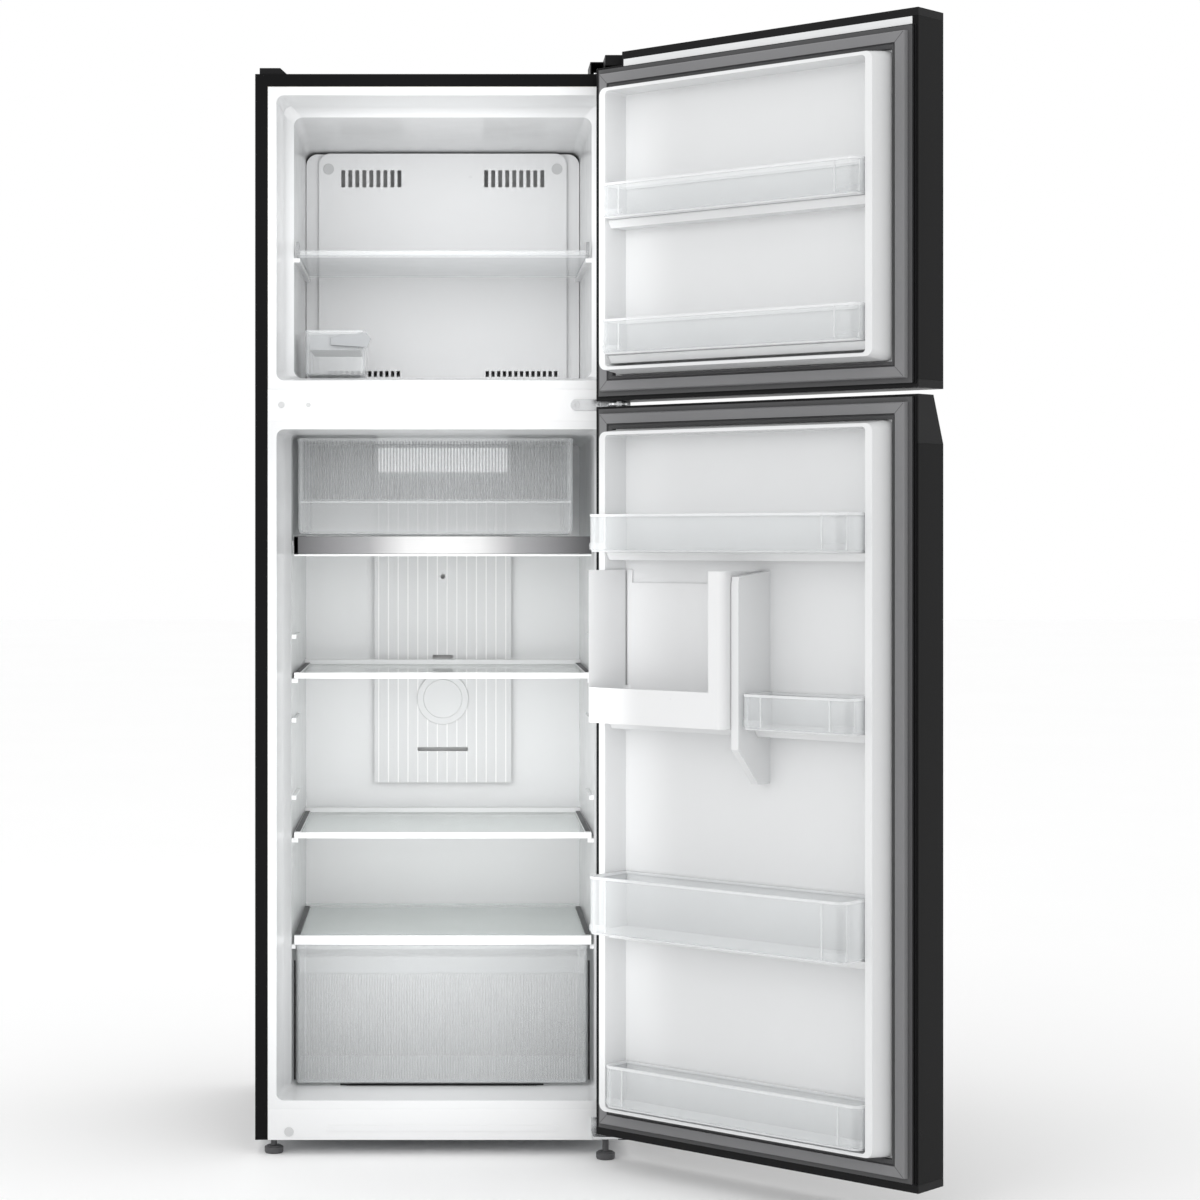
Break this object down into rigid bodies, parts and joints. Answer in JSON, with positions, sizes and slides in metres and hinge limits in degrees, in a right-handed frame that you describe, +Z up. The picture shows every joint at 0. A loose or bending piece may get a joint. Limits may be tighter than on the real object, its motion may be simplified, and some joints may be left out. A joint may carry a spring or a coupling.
{
  "type": "top freezer refrigerator",
  "caption": "Two-door top freezer refrigerator with its doors open, showing glass shelves, drawers and door bins.",
  "frame": {"origin": "on the floor, midway across the cabinet, under its front sealing face", "axes": "+Z up, +Y from the front sealing face to the back, +X to the right of someone facing the open doors; the doors open towards -Y and are hinged on the +X side"},
  "size_m": [1.0266, 1.0826, 1.748],
  "materials": {
    "black_paint": "satin",
    "galvanised": "matte",
    "foam": "matte",
    "white_liner": "satin",
    "white_trim": "satin",
    "black_plastic": "satin",
    "grey_plastic": "satin",
    "hinge_steel": "polished",
    "coil_aluminium": "satin",
    "brushed_trim": "satin",
    "lens": "matte",
    "copper": "satin",
    "rubber_black": "matte",
    "gasket_grey": "matte",
    "shelf_glass": "polished",
    "clear_plastic": "gloss"
  },
  "bodies": {
    "cabinet": {"outer_shell": "black_paint", "back_panel": "galvanised", "base_frame": "galvanised", "cabinet_foam": "foam", "freezer_liner": "white_liner", "fridge_liner": "white_liner", "centre_beam_cover": "white_trim", "kick_plate": "white_trim", "screw_caps": "white_trim", "top_covers": "black_plastic", "top_hinge": "hinge_steel", "centre_hinge": "hinge_steel", "bottom_hinge": "hinge_steel", "hinge_screws": "hinge_steel", "evaporator_cover": "white_trim", "evaporator_coil": "coil_aluminium", "fan_motor": "grey_plastic", "air_duct_cover": "white_trim", "deodoriser_cover": "white_trim", "lamp_lens": "lens", "chiller_shelf": "shelf_glass", "chiller_trim": "brushed_trim", "compressor": "black_paint", "compressor_mounts": "rubber_black", "refrigerant_tubes": "copper", "drain_pan": "black_plastic", "control_box": "white_trim", "machine_cover": "grey_plastic"},
    "freezer_door": {"freezer_door_skin": "black_paint", "freezer_door_caps": "black_plastic", "freezer_door_foam": "foam", "freezer_door_liner": "white_liner", "freezer_door_gasket": "gasket_grey"},
    "fridge_door": {"fridge_door_skin": "black_paint", "fridge_door_caps": "black_plastic", "fridge_door_foam": "foam", "fridge_door_liner": "white_liner", "fridge_door_gasket": "gasket_grey"},
    "upper_shelf": {"upper_shelf_glass": "shelf_glass", "upper_shelf_trim": "white_trim"},
    "lower_shelf": {"lower_shelf_glass": "shelf_glass", "lower_shelf_trim": "white_trim"},
    "freezer_bin_upper": {"freezer_bin_upper": "clear_plastic"},
    "freezer_bin_lower": {"freezer_bin_lower": "clear_plastic"},
    "fridge_bin_top": {"fridge_bin_top": "clear_plastic"},
    "bottle_pocket": {"bottle_pocket": "white_trim"},
    "small_bin": {"small_bin": "clear_plastic"},
    "large_bin": {"large_bin": "clear_plastic"},
    "bottom_bin": {"bottom_bin": "clear_plastic"},
    "freezer_shelf": {"freezer_shelf": "clear_plastic"},
    "crisper_cover": {"crisper_cover": "shelf_glass"},
    "crisper_drawer": {"crisper_drawer": "clear_plastic"},
    "chiller_drawer": {"chiller_drawer": "clear_plastic"},
    "ice_box": {"ice_box": "clear_plastic"},
    "ice_tray": {"ice_tray": "grey_plastic"},
    "fan": {"fan": "white_trim"},
    "roller_left": {"roller_left": "grey_plastic"},
    "roller_right": {"roller_right": "grey_plastic"},
    "foot_left": {"foot_left": "grey_plastic"},
    "foot_right": {"foot_right": "grey_plastic"}
  },
  "joints": [
    {"name": "freezer_door_hinge", "type": "hinge", "parent": "cabinet", "child": "freezer_door", "pos_m": [0.2785, -0.045, 1.475], "axis": [0, 0, 1], "range_deg": [-137.3, 0]},
    {"name": "fridge_door_hinge", "type": "hinge", "parent": "cabinet", "child": "fridge_door", "pos_m": [0.2785, -0.045, 0.62], "axis": [0, 0, 1], "range_deg": [-137.3, 0]},
    {"name": "freezer_bin_upper_lift", "type": "slide", "parent": "freezer_door", "child": "freezer_bin_upper", "axis": [0, 0, 1], "range_m": [0, 0.03]},
    {"name": "freezer_bin_lower_lift", "type": "slide", "parent": "freezer_door", "child": "freezer_bin_lower", "axis": [0, 0, 1], "range_m": [0, 0.03]},
    {"name": "fridge_bin_top_lift", "type": "slide", "parent": "fridge_door", "child": "fridge_bin_top", "axis": [0, 0, 1], "range_m": [0, 0.03]},
    {"name": "bottle_pocket_lift", "type": "slide", "parent": "fridge_door", "child": "bottle_pocket", "axis": [0, 0, 1], "range_m": [0, 0.01]},
    {"name": "small_bin_lift", "type": "slide", "parent": "fridge_door", "child": "small_bin", "axis": [0, 0, 1], "range_m": [0, 0.03]},
    {"name": "large_bin_lift", "type": "slide", "parent": "fridge_door", "child": "large_bin", "axis": [0, 0, 1], "range_m": [0, 0.03]},
    {"name": "bottom_bin_lift", "type": "slide", "parent": "fridge_door", "child": "bottom_bin", "axis": [0, 0, 1], "range_m": [0, 0.03]},
    {"name": "freezer_shelf_slide", "type": "slide", "parent": "cabinet", "child": "freezer_shelf", "axis": [0, -1, 0], "range_m": [0, 0.11]},
    {"name": "upper_shelf_slide", "type": "slide", "parent": "cabinet", "child": "upper_shelf", "axis": [0, -1, 0], "range_m": [0, 0.14]},
    {"name": "lower_shelf_slide", "type": "slide", "parent": "cabinet", "child": "lower_shelf", "axis": [0, -1, 0], "range_m": [0, 0.14]},
    {"name": "crisper_cover_slide", "type": "slide", "parent": "cabinet", "child": "crisper_cover", "axis": [0, -1, 0], "range_m": [0, 0.14]},
    {"name": "crisper_drawer_slide", "type": "slide", "parent": "cabinet", "child": "crisper_drawer", "axis": [0, -1, 0], "range_m": [0, 0.19]},
    {"name": "chiller_drawer_slide", "type": "slide", "parent": "cabinet", "child": "chiller_drawer", "axis": [0, -1, 0], "range_m": [0, 0.27]},
    {"name": "ice_box_slide", "type": "slide", "parent": "cabinet", "child": "ice_box", "axis": [0, -1, 0], "range_m": [0, 0.08]},
    {"name": "ice_tray_twist", "type": "hinge", "parent": "ice_box", "child": "ice_tray", "pos_m": [-0.176, 0.18, 1.307], "axis": [0, -1, 0], "range_deg": [0, 120]},
    {"name": "fan_spin", "type": "hinge", "parent": "cabinet", "child": "fan", "pos_m": [0, 0.472, 1.574], "axis": [0, 1, 0], "continuous": true},
    {"name": "roller_left_roll", "type": "hinge", "parent": "cabinet", "child": "roller_left", "pos_m": [-0.25, 0.555, 0.011], "axis": [1, 0, 0], "continuous": true},
    {"name": "roller_right_roll", "type": "hinge", "parent": "cabinet", "child": "roller_right", "pos_m": [0.25, 0.555, 0.011], "axis": [1, 0, 0], "continuous": true},
    {"name": "foot_left_turn", "type": "hinge", "parent": "cabinet", "child": "foot_left", "pos_m": [-0.271, 0.02, 0.006], "axis": [0, 0, 1], "continuous": true},
    {"name": "foot_right_turn", "type": "hinge", "parent": "cabinet", "child": "foot_right", "pos_m": [0.2585, -0.025, 0.006], "axis": [0, 0, 1], "continuous": true}
  ]
}
